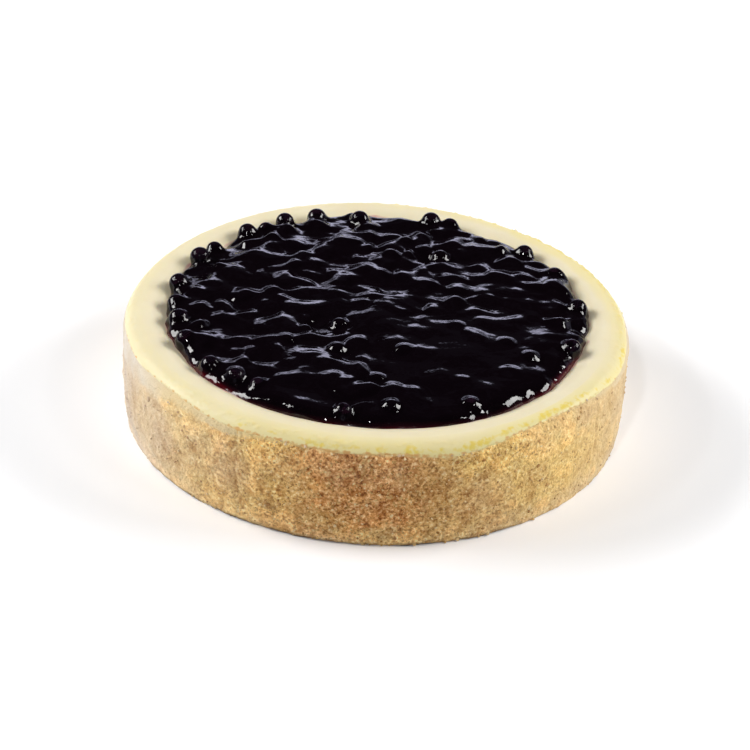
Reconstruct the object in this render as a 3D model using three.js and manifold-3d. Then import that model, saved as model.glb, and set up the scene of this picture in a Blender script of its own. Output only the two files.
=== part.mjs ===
// A whole baked cheesecake with a berry topping: a crumb crust shaped like a cup, a pale baked
// filling that domes over the crust's edge and dips in the middle, and a heap of small dark
// berries set in their own glaze, which lies in that dip.
// Millimetres, +Z up. The origin is the middle of the flat underside, and -Y is the front.
import * as THREE from "three";
import { mergeVertices } from "three/addons/utils/BufferGeometryUtils.js";
import Module from "manifold-3d";

// Driving dimensions of the whole cake
const CAKE_RADIUS = 115;
const FOOT_RADIUS = 113.4;
const FOOT_ROUND = 1.4;
const RIM_HEIGHT = 51;
const SHOULDER = 9;
const CLEARANCE = 0.3;
const TURN_STEPS = 72;
// Waves round the turn, as [height, number of waves, phase]: the oval's are shares of the radius
const OVAL_WAVES = [
  [0.003, 2, 0.7],
  [0.0015, 4, -1.1],
];
const RIM_WAVES = [
  [0.45, 1, -1.1],
  [0.25, 3, 0.4],
];

// Crumb crust
const BASE_THICKNESS = 7;
const WALL_AT_FOOT = 5;
const WALL_AT_TOP = 1.6;
const INNER_FOOT = 2;
const CRAG = 0.45;
const WALL_ROWS = 5;
const ARC_ROWS = 2;
const HIDDEN_WALL_HEIGHTS = [24, BASE_THICKNESS + INNER_FOOT];
// How far up the shoulder the crumbs reach, in degrees: a level, fine waves, and wider swells as
// [clock angle, half width, height]
const CRUMB_REACH = 33;
const REACH_WAVES = [
  [4, 7, -0.571],
  [3, 13, 0.429],
];
const CRUMB_SWELLS = [
  [-45, 15, 24],
  [-135, 16, 8],
];

// Filling
const CREST_ROWS = 4;

// Dip in the top of the filling
const DIP_FLOOR = 47;
const DIP_INNER_RADIUS = 91;
const DIP_OUTER_RADIUS = 102.5;
const DIP_ROWS = [99.5, 96.5, 93.5];

// Glaze
const GLAZE_RADIUS = 96;
const GLAZE_WAVES = [
  [0.7, 5, -1.171],
  [0.5, 11, 0.529],
  [0.35, 17, -1.571],
];
const GLAZE_LEVEL = 52.4;
const GLAZE_DOME = 1.8;
const GLAZE_WAVE = 1;
const GLAZE_BEAD = 6;
const GLAZE_FOOT = 0.8;
const GLAZE_BED = 1.5 * CLEARANCE;
const GLAZE_STEPS = 56;
const GLAZE_RINGS = [74, 56, 37, 18];
// A pool of deeper glaze to one side, where the waves are weaker
const POOL = { x: 36, y: -38, reach: 44, depth: 1.5, calm: 0.8 };

// Berries
const BERRY_RADIUS = 4.2;
const BERRY_SPREAD = 0.55;
const BERRY_GAP = 0.98;
const BERRY_TRIES = 1600;
const BERRY_LIFT = 1.6;
const LOW_SHARE = 0.6;
const PROUD_SHARE = 0.12;
const PROUD_LIFT = 0.7;
const BARE_PATCH = 0.5;
const BERRY_FIELD_RADIUS = 85;
const BERRY_SIDES = 6;
const BERRY_BANDS = 4;
// Berries that stand out along the edge: clock angle in degrees, distance from the axis, radius
const EDGE_BERRIES = [
  [133, 93.5, 4.2],
  [127, 91.5, 3.9],
  [120, 93, 4.4],
  [110, 92, 4.6],
  [97, 88, 4.5],
  [75, 92, 4.7],
  [69, 92, 4.2],
  [147, 93, 3.9],
  [154, 93.5, 4.7],
  [170, 93, 4.5],
  [-179, 91, 4.3],
  [-170, 90, 4.5],
  [-157, 91, 4.9],
  [-142, 91, 4.5],
  [-133, 88.5, 4.4],
  [-125, 87, 4.1],
  [-98, 89, 4.0],
  [-62, 89, 4.2],
  [-17, 91, 4.5],
  [6, 91.5, 4.6],
  [26, 91, 4.5],
  [42, 92, 4.3],
];

const SHOULDER_FOOT = RIM_HEIGHT - SHOULDER;
const CREST_RADIUS = CAKE_RADIUS - SHOULDER;
const TURN = 2 * Math.PI;

const mix = (a, b, t) => a + (b - a) * t;
const clamp = (t) => Math.min(1, Math.max(0, t));
const smooth = (t) => clamp(t) ** 2 * (3 - 2 * clamp(t));
const radians = (degrees) => (degrees * Math.PI) / 180;
const wavesAt = (waves, angle) =>
  waves.reduce((sum, [height, count, phase]) => sum + height * Math.cos(count * angle + phase), 0);

// A repeatable draw between 0 and 1
function chance(n) {
  const x = Math.sin(n * 127.1 + 311.7) * 43758.5453;
  return x - Math.floor(x);
}

// The baked round is a little oval, the same for every piece, so that the pieces stay nested
const oval = (angle) => 1 + wavesAt(OVAL_WAVES, angle);

// The rim rises and falls slightly on its way round
const rimLift = (angle) => wavesAt(RIM_WAVES, angle);

// How far up the shoulder the crumbs reach, as an angle from the shoulder's centre
function crumbReach(angle) {
  let reach = CRUMB_REACH + wavesAt(REACH_WAVES, angle);
  for (const [clock, width, height] of CRUMB_SWELLS) {
    const away = Math.atan2(Math.sin(angle - radians(clock)), Math.cos(angle - radians(clock)));
    reach += height * Math.exp(-((away / radians(width)) ** 2));
  }
  return radians(reach);
}

// Crumb lumps on the outside of the crust
function crag(angle, z) {
  const broad = Math.sin(9 * angle + 0.11 * z) * Math.sin(0.21 * z + 2 * angle);
  const fine = Math.sin(23 * angle - 0.35 * z) * Math.sin(0.47 * z + 5 * angle + 1);
  return -CRAG * (0.5 + 0.3 * broad + 0.2 * fine);
}

// The crust's outer radius from the foot to the shoulder, with a slight belly
function wallRadius(z) {
  const t = z / SHOULDER_FOOT;
  return mix(FOOT_RADIUS, CAKE_RADIUS, Math.sin((clamp(t * 1.6) * Math.PI) / 2));
}

// The crust's thickness, from a stout foot to a thin edge
function wallThickness(z) {
  const t = (z - BASE_THICKNESS) / (SHOULDER_FOOT - BASE_THICKNESS);
  return mix(WALL_AT_FOOT, WALL_AT_TOP, clamp(t));
}

// The height of the filling's dip at a distance from the axis
function dipHeight(r) {
  const t = (r - DIP_INNER_RADIUS) / (DIP_OUTER_RADIUS - DIP_INNER_RADIUS);
  return mix(DIP_FLOOR, RIM_HEIGHT - CLEARANCE, smooth(t));
}

// A point on an arc about the shoulder's centre
function shoulderPoint(radius, tilt) {
  return [CREST_RADIUS + radius * Math.cos(tilt), SHOULDER_FOOT + radius * Math.sin(tilt)];
}

// Points from a to b in equal steps, both ends included
const steps = (count, a, b) => Array.from({ length: count + 1 }, (_, i) => mix(a, b, i / count));

// A place on the even round, moved to where it lies on the uneven one
function settle(angle, r, z) {
  const lift = rimLift(angle) * smooth(z / RIM_HEIGHT) * smooth(r / CREST_RADIUS);
  const reach = r * oval(angle);
  return [reach * Math.cos(angle), reach * Math.sin(angle), z + lift];
}

// A turned solid whose profile, a list of [radius, height] from axis to axis, may change on its
// way round
function turned(profileAt, turnSteps = TURN_STEPS) {
  const rows = profileAt(0).map(([r, z]) => new THREE.Vector2(r, z));
  const geometry = new THREE.LatheGeometry(rows, turnSteps);
  const place = geometry.getAttribute("position");
  for (let i = 0; i <= turnSteps; i++) {
    const angle = ((i % turnSteps) / turnSteps) * TURN;
    profileAt(angle).forEach(([r, z], j) => place.setXYZ(i * rows.length + j, ...settle(angle, r, z)));
  }
  geometry.computeVertexNormals();
  return geometry;
}

// Crumb crust: underside, craggy wall, shoulder, thin edge, inner wall and the top of the base
function crustProfile(angle) {
  const reach = crumbReach(angle);
  const underside = [
    [0, 0],
    [FOOT_RADIUS - FOOT_ROUND, 0],
  ];
  const wall = steps(WALL_ROWS, FOOT_ROUND, SHOULDER_FOOT).map((z) => [wallRadius(z) + crag(angle, z), z]);
  const arc = steps(ARC_ROWS - 1, reach / ARC_ROWS, reach).map((tilt) => {
    const [r, z] = shoulderPoint(SHOULDER, tilt);
    return [r + crag(angle, z) * (1 - tilt / reach), z];
  });
  const innerArc = [reach, reach / 2, 0].map((tilt) => shoulderPoint(SHOULDER - WALL_AT_TOP, tilt));
  const innerWall = HIDDEN_WALL_HEIGHTS.map((z) => [CAKE_RADIUS - wallThickness(z), z]);
  const base = [
    [CAKE_RADIUS - WALL_AT_FOOT - INNER_FOOT, BASE_THICKNESS],
    [0, BASE_THICKNESS],
  ];
  return [...underside, ...wall, ...arc, ...innerArc, ...innerWall, ...base];
}

// Filling: it fills the cup, meets the crust's edge, domes over it and dips in the middle
function fillingProfile(angle) {
  const reach = crumbReach(angle) + CLEARANCE / SHOULDER;
  const underside = BASE_THICKNESS + CLEARANCE;
  const foot = [CAKE_RADIUS - WALL_AT_FOOT - INNER_FOOT - CLEARANCE, underside];
  const wall = HIDDEN_WALL_HEIGHTS.toReversed().map((z) => [
    CAKE_RADIUS - wallThickness(z) - CLEARANCE,
    z + CLEARANCE,
  ]);
  const hidden = [0, reach / 2, reach].map((tilt) => shoulderPoint(SHOULDER - WALL_AT_TOP - CLEARANCE, tilt));
  const crest = steps(CREST_ROWS, reach, Math.PI / 2).map((tilt) => shoulderPoint(SHOULDER - CLEARANCE, tilt));
  const dip = [DIP_OUTER_RADIUS, ...DIP_ROWS, DIP_INNER_RADIUS].map((r) => [r, dipHeight(r)]);
  return [[0, underside], foot, ...wall, ...hidden, ...crest, ...dip, [0, DIP_FLOOR]];
}

// The glaze's uneven outline
const glazeEdge = (angle) => GLAZE_RADIUS + wavesAt(GLAZE_WAVES, angle);

// How deep the pool is at a place, from 0 to 1
const poolAt = (x, y) => Math.exp(-((x - POOL.x) ** 2 + (y - POOL.y) ** 2) / POOL.reach ** 2);

// The glaze's surface between the berries: a low dome, the pool and slow waves some 30 mm long
function glazeLevel(x, y) {
  const dome = GLAZE_DOME * (1 - (Math.hypot(x, y) / GLAZE_RADIUS) ** 4);
  const wave = GLAZE_WAVE * Math.sin(0.15 * x + 0.08 * y) * Math.sin(0.22 * y - 0.06 * x + 1);
  const pool = poolAt(x, y);
  return GLAZE_LEVEL + dome + POOL.depth * pool + wave * (1 - POOL.calm * pool);
}

// Glaze: its underside follows the dip, and its rim is a rounded bead
function glazeProfile(angle) {
  const edge = glazeEdge(angle);
  const lowest = (r) => dipHeight(r) + GLAZE_BED;
  const under = [DIP_INNER_RADIUS, DIP_ROWS.at(-1)].map((r) => [r, lowest(r)]);
  const over = [edge - GLAZE_FOOT, edge - GLAZE_BEAD, ...GLAZE_RINGS].map((r) => {
    const level = glazeLevel(r * Math.cos(angle), r * Math.sin(angle));
    const bead = Math.sqrt(1 - (1 - clamp((edge - r) / GLAZE_BEAD)) ** 2);
    return [r, mix(lowest(r), level, bead)];
  });
  return [[0, lowest(0)], ...under, [edge, lowest(edge)], ...over, [0, glazeLevel(0, 0)]];
}

// The height at which a berry's centre clears the dip beneath it, tried at nine places across
function berryHeight(r, radius) {
  const rests = steps(8, -radius, radius).map((d) => {
    const below = Math.sqrt(Math.max(0, radius ** 2 - d ** 2));
    return dipHeight(r + d) + below;
  });
  return Math.max(...rests) + GLAZE_BED;
}

// Every berry as [x, y, z, radius]: those along the edge first, then a scatter that keeps its distance
// and thins out where the glaze is deep. The scattered ones lie higher or lower, and a few lie proud.
function placeBerries() {
  const berries = EDGE_BERRIES.map(([clock, distance, radius]) => [
    distance * Math.cos(radians(clock)),
    distance * Math.sin(radians(clock)),
    berryHeight(distance, radius),
    radius,
  ]);
  for (let n = 0; n < BERRY_TRIES; n++) {
    const distance = BERRY_FIELD_RADIUS * Math.sqrt(chance(4 * n));
    const angle = TURN * chance(4 * n + 1);
    const radius = BERRY_RADIUS + BERRY_SPREAD * (2 * chance(4 * n + 2) - 1);
    const x = distance * Math.cos(angle);
    const y = distance * Math.sin(angle);
    const bare = Math.sin(0.085 * x + 1) * Math.sin(0.095 * y + 0.04 * x) > BARE_PATCH;
    const clear = berries.every(([bx, by, , br]) => Math.hypot(x - bx, y - by) > BERRY_GAP * (radius + br));
    if (clear && !bare && chance(4 * n + 3) > poolAt(x, y)) {
      const proud = chance(berries.length + 0.25) < PROUD_SHARE ? PROUD_LIFT : 0;
      const lift = BERRY_LIFT * (chance(4 * n + 2.5) - LOW_SHARE) + proud;
      berries.push([x, y, berryHeight(distance, radius) + lift, radius]);
    }
  }
  return berries;
}

// One berry, flattened beneath where it would touch the filling
function berrySolid([x, y, z, radius], turn) {
  const berry = new THREE.SphereGeometry(radius, BERRY_SIDES, BERRY_BANDS);
  berry.rotateX(Math.PI / 2).rotateZ(turn).translate(x, y, z);
  const place = berry.getAttribute("position");
  for (let i = 0; i < place.count; i++) {
    const [px, py] = [place.getX(i), place.getY(i)];
    const pz = Math.max(place.getZ(i), DIP_FLOOR + GLAZE_BED);
    place.setXYZ(i, ...settle(Math.atan2(py, px), Math.hypot(px, py), pz));
  }
  return solid(berry);
}

const wasm = await Module();
wasm.setup();

// A geometry as a solid that can be joined
function solid(geometry) {
  const bare = geometry.clone();
  bare.deleteAttribute("normal");
  bare.deleteAttribute("uv");
  const merged = mergeVertices(bare, 1e-3);
  const vertProperties = merged.attributes.position.array;
  const triVerts = new Uint32Array(merged.index.array);
  return new wasm.Manifold(new wasm.Mesh({ numProp: 3, vertProperties, triVerts }));
}

// A joined solid back as a geometry
function geometryOf(made) {
  const mesh = made.getMesh();
  const geometry = new THREE.BufferGeometry();
  geometry.setAttribute("position", new THREE.BufferAttribute(mesh.vertProperties, mesh.numProp));
  geometry.setIndex(new THREE.BufferAttribute(mesh.triVerts, 1));
  return geometry.toNonIndexed();
}

// The berries joined to the glaze they lie in
function toppingGeometry() {
  let heap = solid(turned(glazeProfile, GLAZE_STEPS));
  placeBerries().forEach((berry, n) => {
    heap = heap.add(berrySolid(berry, TURN * chance(n + 0.5)));
  });
  const geometry = geometryOf(heap);
  geometry.computeVertexNormals();
  return geometry;
}

function finish(color, roughness) {
  return new THREE.MeshStandardMaterial({ color, roughness, metalness: 0 });
}

function piece(name, geometry, material) {
  const mesh = new THREE.Mesh(geometry, material);
  mesh.name = name;
  return mesh;
}

const cheesecake = new THREE.Group();
cheesecake.add(
  piece("crumb_crust", turned(crustProfile), finish(0xc79a5e, 0.95)),
  piece("cheese_filling", turned(fillingProfile), finish(0xf3e6bd, 0.6)),
  piece("berry_topping", toppingGeometry(), finish(0x140810, 0.12)),
);

export default cheesecake;
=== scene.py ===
# %% [markdown]
# A baked cheesecake with glazed berries, built as a lesson.
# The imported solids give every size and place. Each of them is replaced here by a finer
# surface of the same form, worked out with numpy, and each surface gets its own finish.

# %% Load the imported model
import math

import bpy
import numpy as np
from mathutils import Matrix, Vector


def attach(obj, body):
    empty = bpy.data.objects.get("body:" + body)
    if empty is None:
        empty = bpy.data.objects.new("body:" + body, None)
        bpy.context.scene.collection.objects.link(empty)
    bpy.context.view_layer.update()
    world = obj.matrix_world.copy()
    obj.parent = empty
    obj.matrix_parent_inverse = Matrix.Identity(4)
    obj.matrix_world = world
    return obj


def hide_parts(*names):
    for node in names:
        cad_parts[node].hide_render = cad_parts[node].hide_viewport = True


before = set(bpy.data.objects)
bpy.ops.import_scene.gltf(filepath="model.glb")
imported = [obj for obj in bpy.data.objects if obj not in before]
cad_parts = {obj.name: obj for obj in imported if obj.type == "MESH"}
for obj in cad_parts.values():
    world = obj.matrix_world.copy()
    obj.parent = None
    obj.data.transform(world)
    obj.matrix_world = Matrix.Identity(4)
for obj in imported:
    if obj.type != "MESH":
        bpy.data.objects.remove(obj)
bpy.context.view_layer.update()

# %% [markdown]
# The camera comes first, because everything is judged through it. The cake's outline in the
# picture fixes it: 31.5 degrees above the table, 1.21 m away, with a long lens, and tipped
# by 3 degrees. It looks at a point on the cake's axis, so no lens shift is needed.

# %% Camera
MM = 0.001
CAMERA_DISTANCE = 1208.9 * MM
CAMERA_ELEVATION = math.radians(31.49)
CAMERA_ROLL = math.radians(2.88)
LOOK_AT = Vector((0.4, 0, 17.7)) * MM
LENS = 124.8
SENSOR = 36


def add_camera():
    """The camera stands in front of the cake, looks at LOOK_AT and is then rolled about its own axis."""
    data = bpy.data.cameras.new("camera")
    data.lens = LENS
    data.sensor_width = SENSOR
    camera = bpy.data.objects.new("camera", data)
    bpy.context.scene.collection.objects.link(camera)
    camera.location = CAMERA_DISTANCE * Vector((0, -math.cos(CAMERA_ELEVATION), math.sin(CAMERA_ELEVATION)))
    aim = (LOOK_AT - camera.location).to_track_quat("-Z", "Y")
    camera.rotation_mode = "QUATERNION"
    camera.rotation_quaternion = aim @ Matrix.Rotation(CAMERA_ROLL, 3, "Z").to_quaternion()
    bpy.context.scene.camera = camera
    return camera


camera = add_camera()
print("camera at", [round(c, 3) for c in camera.location])

# %% [markdown]
# Wet glaze shows its surroundings, so the light is laid out for the glaze. Two large soft
# boxes stand left and right, and a small strip on each side gives the bright marks on the
# glaze's near edge. A pale band near the horizon gives the thin grey lines between the
# berries, and the dark part above it keeps the flat glaze black. A small lamp near the
# camera makes the points of light on the berries. One big lamp overhead would be simpler,
# but it would turn the flat glaze grey.

# %% Floor, lights and surroundings
FLOOR_HALF = 4.0
FLOOR_COLOUR = (0.97, 0.98, 1.0, 1)
BAND_COLOUR = (0.83, 0.82, 1.08, 1)
BAND_STRENGTH = 1.75
DARK_STRENGTH = 0.022
BAND_TOP = 0.27
BAND_FADE = 0.09
BAND_HALF_WIDTH = 0.3
BAND_SIDE_FADE = 0.16
BEHIND_FADE = 0.4
SIDE_SHARE = 0.16
# The band is cloudy: the size of its clouds, and its strength between them and in them
CLOUD_SCALE = 5.0
CLOUD_LOW, CLOUD_HIGH = 0.38, 0.62
CLOUD_DIM, CLOUD_BRIGHT = 0.12, 1.3
# name: direction from the cake (x, y, z), distance, width, height, watts, colour
LIGHTS = {
    "left_box": ((-0.82, 0.14, 0.58), 1.5, 1.0, 0.45, 22.5, (1.0, 0.99, 0.98)),
    "right_box": ((0.84, 0.12, 0.55), 1.5, 1.0, 0.45, 20.8, (1.0, 0.99, 0.98)),
    "left_strip": ((-0.62, -0.22, 0.75), 1.5, 0.22, 0.08, 1.6, (1.0, 1.0, 1.0)),
    "right_strip": ((0.55, -0.32, 0.77), 1.5, 0.22, 0.08, 1.6, (1.0, 1.0, 1.0)),
    "front_lamp": ((-0.16, -0.75, 0.75), 1.6, 0.09, 0.09, 4, (1.0, 1.0, 1.0)),
}


def add_floor():
    """A large flat square of four corners, in a plain pale finish."""
    mesh = bpy.data.meshes.new("floor")
    corners = [(x * FLOOR_HALF, y * FLOOR_HALF, 0) for x, y in ((-1, -1), (1, -1), (1, 1), (-1, 1))]
    mesh.from_pydata(corners, [], [(0, 1, 2, 3)])
    floor = bpy.data.objects.new("floor", mesh)
    bpy.context.scene.collection.objects.link(floor)
    material = bpy.data.materials.new("pale_floor")
    material.use_nodes = True
    shader = material.node_tree.nodes["Principled BSDF"]
    shader.inputs["Base Color"].default_value = FLOOR_COLOUR
    shader.inputs["Roughness"].default_value = 0.9
    mesh.materials.append(material)


def add_light(name, direction, distance, width, height, watts, colour):
    """A rectangular soft box on a line from the cake's middle, turned to face it."""
    data = bpy.data.lights.new(name, "AREA")
    data.shape = "RECTANGLE"
    data.size = width
    data.size_y = height
    data.energy = watts
    data.color = colour
    light = bpy.data.objects.new(name, data)
    bpy.context.scene.collection.objects.link(light)
    light.location = Vector(direction).normalized() * distance
    light.rotation_euler = (-light.location).to_track_quat("-Z", "Y").to_euler()


def fade(nodes, links, value, low, high, from_value, to_value):
    """A smooth step from one value to another while the input goes from low to high."""
    step = nodes.new("ShaderNodeMapRange")
    step.interpolation_type = "SMOOTHSTEP"
    limits = {"From Min": low, "From Max": high, "To Min": from_value, "To Max": to_value}
    for socket, number in limits.items():
        step.inputs[socket].default_value = number
    links.new(value, step.inputs["Value"])
    return step.outputs["Result"]


def times(nodes, links, a, b):
    """The product of two sockets."""
    product = nodes.new("ShaderNodeMath")
    product.operation = "MULTIPLY"
    links.new(a, product.inputs[0])
    links.new(b, product.inputs[1])
    return product.outputs["Value"]


def add_surroundings():
    """A world that is dark above and dim low down, but for a pale cloudy patch low behind the cake."""
    world = bpy.data.worlds.new("studio")
    world.use_nodes = True
    bpy.context.scene.world = world
    nodes, links = world.node_tree.nodes, world.node_tree.links
    background = nodes["Background"]
    direction = nodes.new("ShaderNodeTexCoord").outputs["Generated"]
    split = nodes.new("ShaderNodeSeparateXYZ")
    links.new(direction, split.inputs["Vector"])
    low, high = BAND_TOP - BAND_FADE, BAND_TOP + BAND_FADE
    height = fade(nodes, links, split.outputs["Z"], low, high, BAND_STRENGTH, DARK_STRENGTH)
    sideways = nodes.new("ShaderNodeMath")
    sideways.operation = "ABSOLUTE"
    links.new(split.outputs["X"], sideways.inputs[0])
    near, far = BAND_HALF_WIDTH - BAND_SIDE_FADE, BAND_HALF_WIDTH + BAND_SIDE_FADE
    middle = fade(nodes, links, sideways.outputs["Value"], near, far, 1, SIDE_SHARE)
    behind = fade(nodes, links, split.outputs["Y"], 0, BEHIND_FADE, SIDE_SHARE, 1)
    clouds = nodes.new("ShaderNodeTexNoise")
    clouds.inputs["Scale"].default_value = CLOUD_SCALE
    links.new(direction, clouds.inputs["Vector"])
    cloudy = fade(nodes, links, clouds.outputs["Fac"], CLOUD_LOW, CLOUD_HIGH, CLOUD_DIM, CLOUD_BRIGHT)
    strength = times(nodes, links, times(nodes, links, height, middle), times(nodes, links, behind, cloudy))
    links.new(strength, background.inputs["Strength"])
    background.inputs["Color"].default_value = BAND_COLOUR


add_floor()
add_surroundings()
for light_name, settings in LIGHTS.items():
    add_light(light_name, *settings)
bpy.context.scene.view_settings.view_transform = "Standard"
print("lights:", ", ".join(LIGHTS))

# %% [markdown]
# The cake is a turned form, so a place on it is an angle, a distance from the axis and a
# height. These are the same measures and the same gentle unevenness as in the solids, in
# millimetres, and only the last step turns them into metres. A cake could also be sculpted
# by hand, but formulas keep every piece nested in the next one.

# %% Measures of the cake
CAKE_RADIUS = 115
FOOT_RADIUS = 113.4
FOOT_ROUND = 1.4
FOOT_CURVE = 1.6
RIM_HEIGHT = 51
SHOULDER = 9
CLEARANCE = 0.3
CRAG = 0.45
DIP_FLOOR = 47
DIP_INNER_RADIUS = 91
DIP_OUTER_RADIUS = 102.5
SHOULDER_FOOT = RIM_HEIGHT - SHOULDER
CREST_RADIUS = CAKE_RADIUS - SHOULDER
TURN = 2 * math.pi
QUARTER = math.pi / 2
# Waves round the turn, as (height, number of waves, phase): the oval's are shares of the radius
OVAL_WAVES = [(0.003, 2, 0.7), (0.0015, 4, -1.1)]
RIM_WAVES = [(0.45, 1, -1.1), (0.25, 3, 0.4)]
REACH_WAVES = [(4, 7, 1 - QUARTER), (3, 13, 2 - QUARTER)]
# How far up the shoulder the crumbs go, in degrees, with wider rises: clock angle, half width, height
CRUMB_REACH = 33
CRUMB_SWELLS = [(-45, 15, 24), (-135, 16, 8)]


def smooth(t):
    """A share from 0 to 1 that starts and ends level: 3t^2 - 2t^3."""
    t = np.clip(t, 0, 1)
    return t * t * (3 - 2 * t)


def mix(a, b, t):
    """Goes straight from a to b while t goes from 0 to 1."""
    return a + (b - a) * t


def waves(angle, table):
    """Even waves round the turn: the sum of height * cos(number * angle + phase)."""
    return sum(height * np.cos(number * angle + phase) for height, number, phase in table)


def degrees_from(clock, angle):
    """How far round the turn a place is from a clock angle, from -180 to 180 degrees."""
    return (np.degrees(angle) - clock + 180) % 360 - 180


def swells(angle, table):
    """Rounded rises round the turn: the sum of height * exp(-(degrees away / half width)^2)."""
    return sum(
        height * np.exp(-((degrees_from(clock, angle) / width) ** 2)) for clock, width, height in table
    )


def oval(angle):
    """The round is a little oval: this is its radius as a share, at most half a millimetre off."""
    return 1 + waves(angle, OVAL_WAVES)


def rim_lift(angle):
    """The rim is higher on one side and has three low waves."""
    return waves(angle, RIM_WAVES)


def place(angle, r, z):
    """Angle, distance and height as x, y, z in metres, with the round's unevenness added."""
    lift = rim_lift(angle) * smooth(z / RIM_HEIGHT) * smooth(r / CREST_RADIUS)
    reach = r * oval(angle)
    return np.stack([reach * np.cos(angle), reach * np.sin(angle), z + lift], -1) * MM


def crumb_reach(angle):
    """How far up the shoulder the crumbs go, as a tilt in radians: a level, fine waves and wider rises."""
    return np.radians(CRUMB_REACH + waves(angle, REACH_WAVES) + swells(angle, CRUMB_SWELLS))


def crag(angle, z):
    """Broad lumps in the pressed crumb: products of sines that run round and up the wall."""
    broad = np.sin(9 * angle + 0.11 * z) * np.sin(0.21 * z + 2 * angle)
    fine = np.sin(23 * angle - 0.35 * z) * np.sin(0.47 * z + 5 * angle + 1)
    return -CRAG * (0.5 + 0.3 * broad + 0.2 * fine)


def wall_radius(z):
    """The wall's radius: a quarter sine from the foot to the full radius, and then straight up."""
    share = np.clip(FOOT_CURVE * z / SHOULDER_FOOT, 0, 1)
    return mix(FOOT_RADIUS, CAKE_RADIUS, np.sin(share * QUARTER))


def dip_height(r):
    """The filling's top: level in the middle, with a smooth slope up to the rim."""
    share = (r - DIP_INNER_RADIUS) / (DIP_OUTER_RADIUS - DIP_INNER_RADIUS)
    return mix(DIP_FLOOR, RIM_HEIGHT - CLEARANCE, smooth(share))


print("rim crest at", CREST_RADIUS, "mm from the axis, dip", RIM_HEIGHT - DIP_FLOOR, "mm deep")

# %% [markdown]
# Baked crumb, filling and glaze are all uneven at many sizes. A lattice of random values,
# blended smoothly between its points, gives such unevenness at any size. A sum of finer and
# weaker copies makes it look natural. Blender has such a noise of its own, in mathutils, but
# it takes one point at a time. This one works on whole arrays, and its draws come from
# whole-number arithmetic, so the result is the same each time.

# %% Random fields
HASH_X, HASH_Y, HASH_Z, HASH_SEED, HASH_MIX = 374761393, 668265263, 1274126177, 2246822519, 3266489917


def lattice_value(ix, iy, iz, seed):
    """A repeatable number from -1 to 1 for each lattice point, by mixing its three whole numbers."""
    h = (ix * HASH_X + iy * HASH_Y + iz * HASH_Z + seed * HASH_SEED) & 0xFFFFFFFF
    h = ((h ^ (h >> 15)) * HASH_MIX) & 0xFFFFFFFF
    h = ((h ^ (h >> 13)) * HASH_Z) & 0xFFFFFFFF
    return ((h ^ (h >> 16)) & 0xFFFFFF) / 0x7FFFFF - 1.0


def noise(points, cell, seed):
    """Smooth random field: the eight lattice values round a point, blended by its place in the cell."""
    q = points / cell
    low = np.floor(q).astype(np.int64)
    f = smooth(q - low)
    total = np.zeros(points.shape[:-1])
    for corner in range(8):
        step = np.array([corner & 1, corner >> 1 & 1, corner >> 2 & 1])
        weight = np.prod(np.where(step, f, 1 - f), axis=-1)
        spot = low + step
        total += weight * lattice_value(spot[..., 0], spot[..., 1], spot[..., 2], seed)
    return total


def layered_noise(points, cell, seed, layers=3):
    """Each layer is half as large and half as strong as the one before."""
    return sum(noise(points, cell / 2**n, seed + n) / 2**n for n in range(layers))


def on_round(angle, r, z):
    """Place in millimetres on an even round, for reading random fields without a seam."""
    return np.stack([r * np.cos(angle), r * np.sin(angle), z * np.ones_like(angle)], -1)


sample = layered_noise(on_round(np.linspace(0, TURN, 500), CAKE_RADIUS, np.full(500, 20.0)), 5, 1)
print("noise spread:", round(float(sample.std()), 3))

# %% [markdown]
# Every large piece is a grid of points: rows run along a profile and columns run round the
# cake. One helper turns such a grid into a mesh, closes it round the turn and caps its two
# ends on the axis. A Screw modifier would turn a profile too, but then every column would be
# the same, and crumbs aren't.

# %% Grid to mesh


def new_piece(name, points, triangles):
    """A mesh object at the origin, from an array of points in metres and one of triangles."""
    mesh = bpy.data.meshes.new(name)
    mesh.vertices.add(len(points))
    mesh.vertices.foreach_set("co", points.astype(np.float32).ravel())
    mesh.loops.add(triangles.size)
    mesh.loops.foreach_set("vertex_index", triangles.astype(np.int32).ravel())
    mesh.polygons.add(len(triangles))
    mesh.polygons.foreach_set("loop_start", 3 * np.arange(len(triangles), dtype=np.int32))
    mesh.update(calc_edges=True)
    mesh.shade_smooth()
    piece = bpy.data.objects.new(name, mesh)
    bpy.context.scene.collection.objects.link(piece)
    return piece


def store(piece, name, values):
    """One number for each point of the piece, which its finish can read."""
    attribute = piece.data.attributes.new(name, "FLOAT", "POINT")
    attribute.data.foreach_set("value", np.asarray(values, np.float32).ravel())


def turned_piece(name, rows):
    """A closed turned form. rows is (profile, round, 3), and its first and last rows lie on the axis."""
    n_rows, n_round = rows.shape[:2]
    body = rows[1:-1].reshape(-1, 3)
    row, column = np.meshgrid(np.arange(n_rows - 3), np.arange(n_round), indexing="ij")
    here, above = row * n_round, (row + 1) * n_round
    after = (column + 1) % n_round
    quads = np.stack([here + column, here + after, above + after, above + column], -1).reshape(-1, 4)
    # Each end is a fan of triangles round its point on the axis, so the quads are cut in two as well
    first, last = np.full(n_round, len(body)), np.full(n_round, len(body) + 1)
    ring, top = np.arange(n_round), (n_rows - 3) * n_round
    beside = (ring + 1) % n_round
    fans = [np.stack([first, beside, ring], -1), np.stack([last, top + ring, top + beside], -1)]
    triangles = np.concatenate([quads[:, [0, 1, 2]], quads[:, [0, 2, 3]], *fans])
    return new_piece(name, np.concatenate([body, rows[0, :1], rows[-1, :1]]), triangles)


def store_rows(piece, fields):
    """Stores fields that were worked out on a turned piece's rows, in the order of its points."""
    for field_name, field in fields.items():
        store(piece, field_name, np.concatenate([field[1:-1].ravel(), field[0, :1], field[-1, :1]]))


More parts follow.
